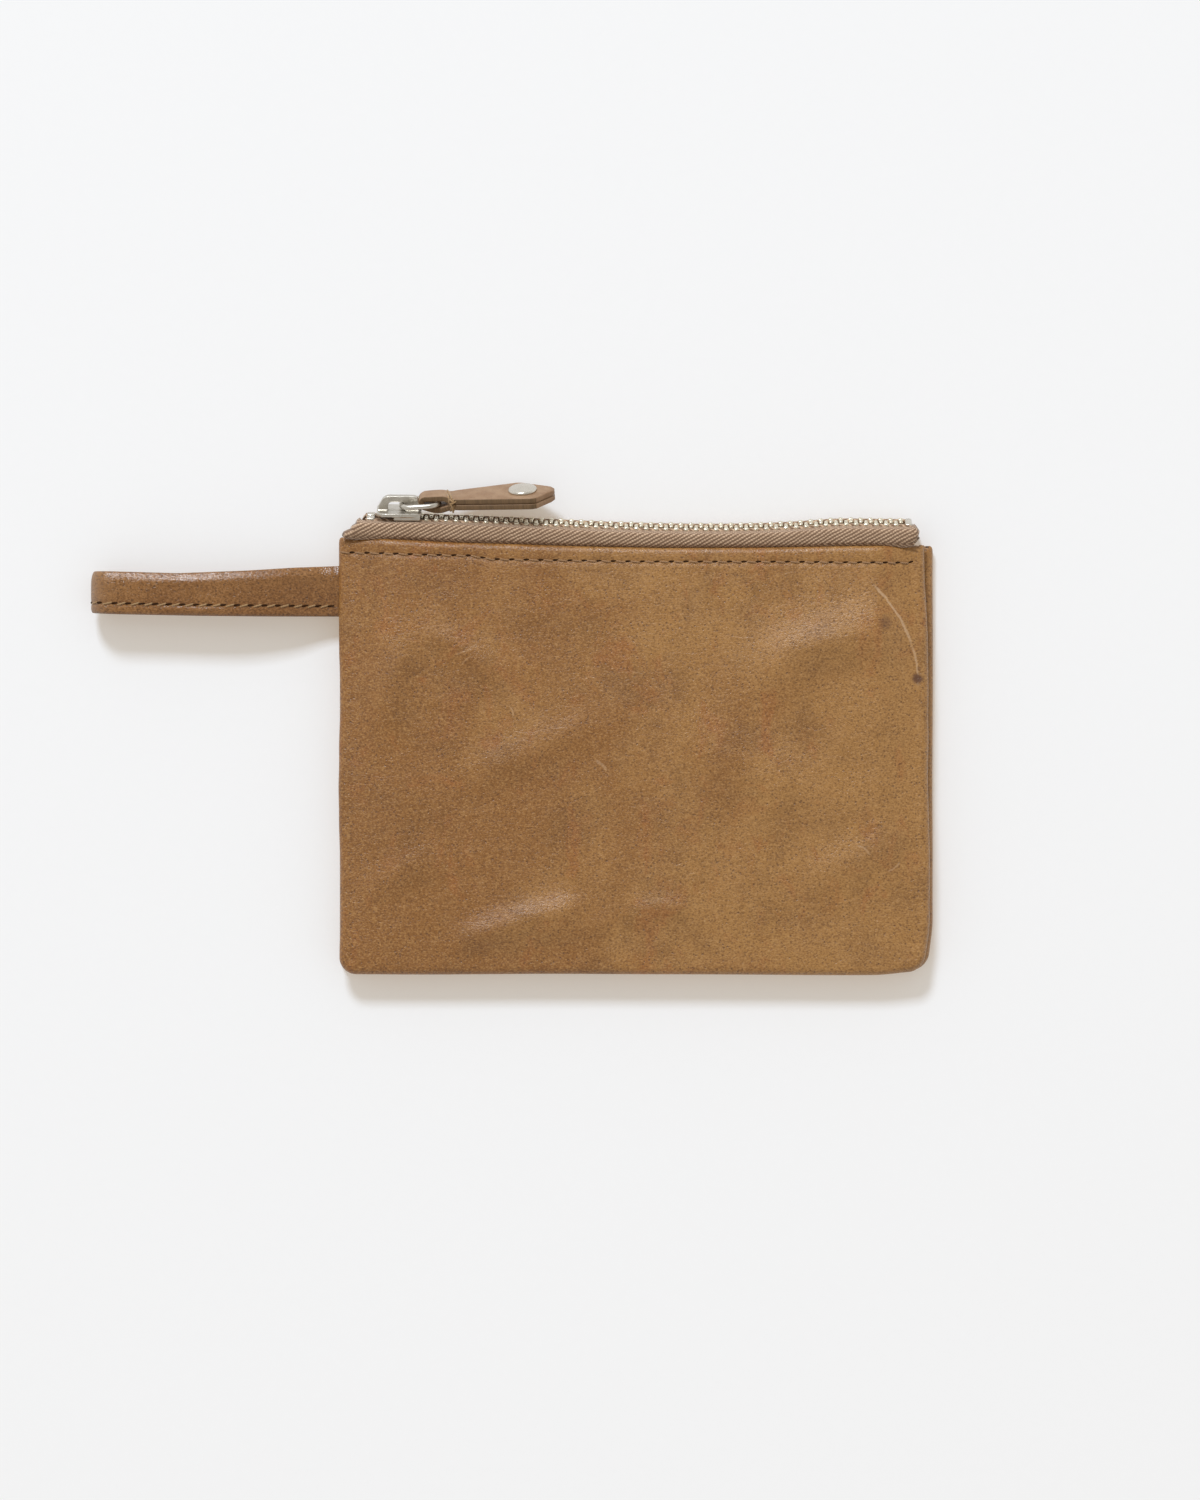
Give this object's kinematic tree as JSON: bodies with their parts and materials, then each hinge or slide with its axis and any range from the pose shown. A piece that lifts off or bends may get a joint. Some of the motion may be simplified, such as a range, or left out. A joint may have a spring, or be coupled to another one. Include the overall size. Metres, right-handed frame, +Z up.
{
  "type": "zippered pouch",
  "caption": "Small flat leather zip pouch with a wrist or finger loop at one side seam and a riveted leather pull on the zip slider.",
  "frame": {"origin": "centre of the back panel's resting face, with the pouch lying on its back", "axes": "+X along the zip, from its closed end and the finger loop towards its open end; +Y from the bottom seam to the zip; +Z up out of the table"},
  "size_m": [0.199, 0.1166, 0.0129],
  "materials": {
    "leather": "waxed tan leather, fine grain, mottled",
    "pull_leather": "matt tan leather, lighter than the panels",
    "lining": "plain woven cotton",
    "zip_tape": "herringbone zip tape",
    "thread": "twisted thread",
    "zip_teeth": "pale gold, tumbled",
    "nickel": "warm satin nickel plate"
  },
  "bodies": {
    "back": {"back_panel": "leather", "back_lining": "lining", "back_zip_tape": "zip_tape", "back_teeth": "zip_teeth", "back_top_stitching": "thread", "seam_thread": "thread", "strap_tail": "leather", "bottom_stop": "nickel", "back_top_stop": "nickel"},
    "front": {"front_panel": "leather", "front_lining": "lining", "front_zip_tape": "zip_tape", "front_teeth": "zip_teeth", "front_top_stitching": "thread", "front_top_stop": "nickel"},
    "slider": {"slider_body": "nickel"},
    "ring": {"pull_ring": "nickel"},
    "pull": {"pull_leather": "pull_leather", "rivet_cap": "nickel", "rivet_base": "nickel", "pull_binding": "thread"},
    "loop": {"strap_loop": "leather", "strap_stitching": "thread"}
  },
  "joints": [
    {"name": "slider_slide", "type": "slide", "parent": "back", "child": "slider", "axis": [0.9999, -0.0113, 0], "range_m": [0, 0.109], "deforming": ["front_teeth", "back_teeth", "front_zip_tape"]},
    {"name": "mouth_open", "type": "hinge", "parent": "back", "child": "front", "pos_m": [0, -0.05125, 0.0036], "axis": [1, 0, 0], "range_deg": [0, 12]},
    {"name": "ring_swing", "type": "hinge", "parent": "slider", "child": "ring", "pos_m": [-0.05521, 0.05986, 0.00653], "axis": [-0.0039, -0.342, 0.9397], "range_deg": [0, 140]},
    {"name": "pull_swing", "type": "hinge", "parent": "ring", "child": "pull", "pos_m": [-0.04643, 0.06048, 0.00679], "axis": [-0.0039, -0.342, 0.9397], "range_deg": [0, 35]},
    {"name": "strap_flex", "type": "hinge", "parent": "back", "child": "loop", "pos_m": [-0.0716, 0.0393, 0.0036], "axis": [0, 1, 0], "range_deg": [-60, 60]}
  ],
  "couplings": [
    {"joint": "mouth_open", "follows": "slider_slide", "rad_per_m": 1.85}
  ]
}
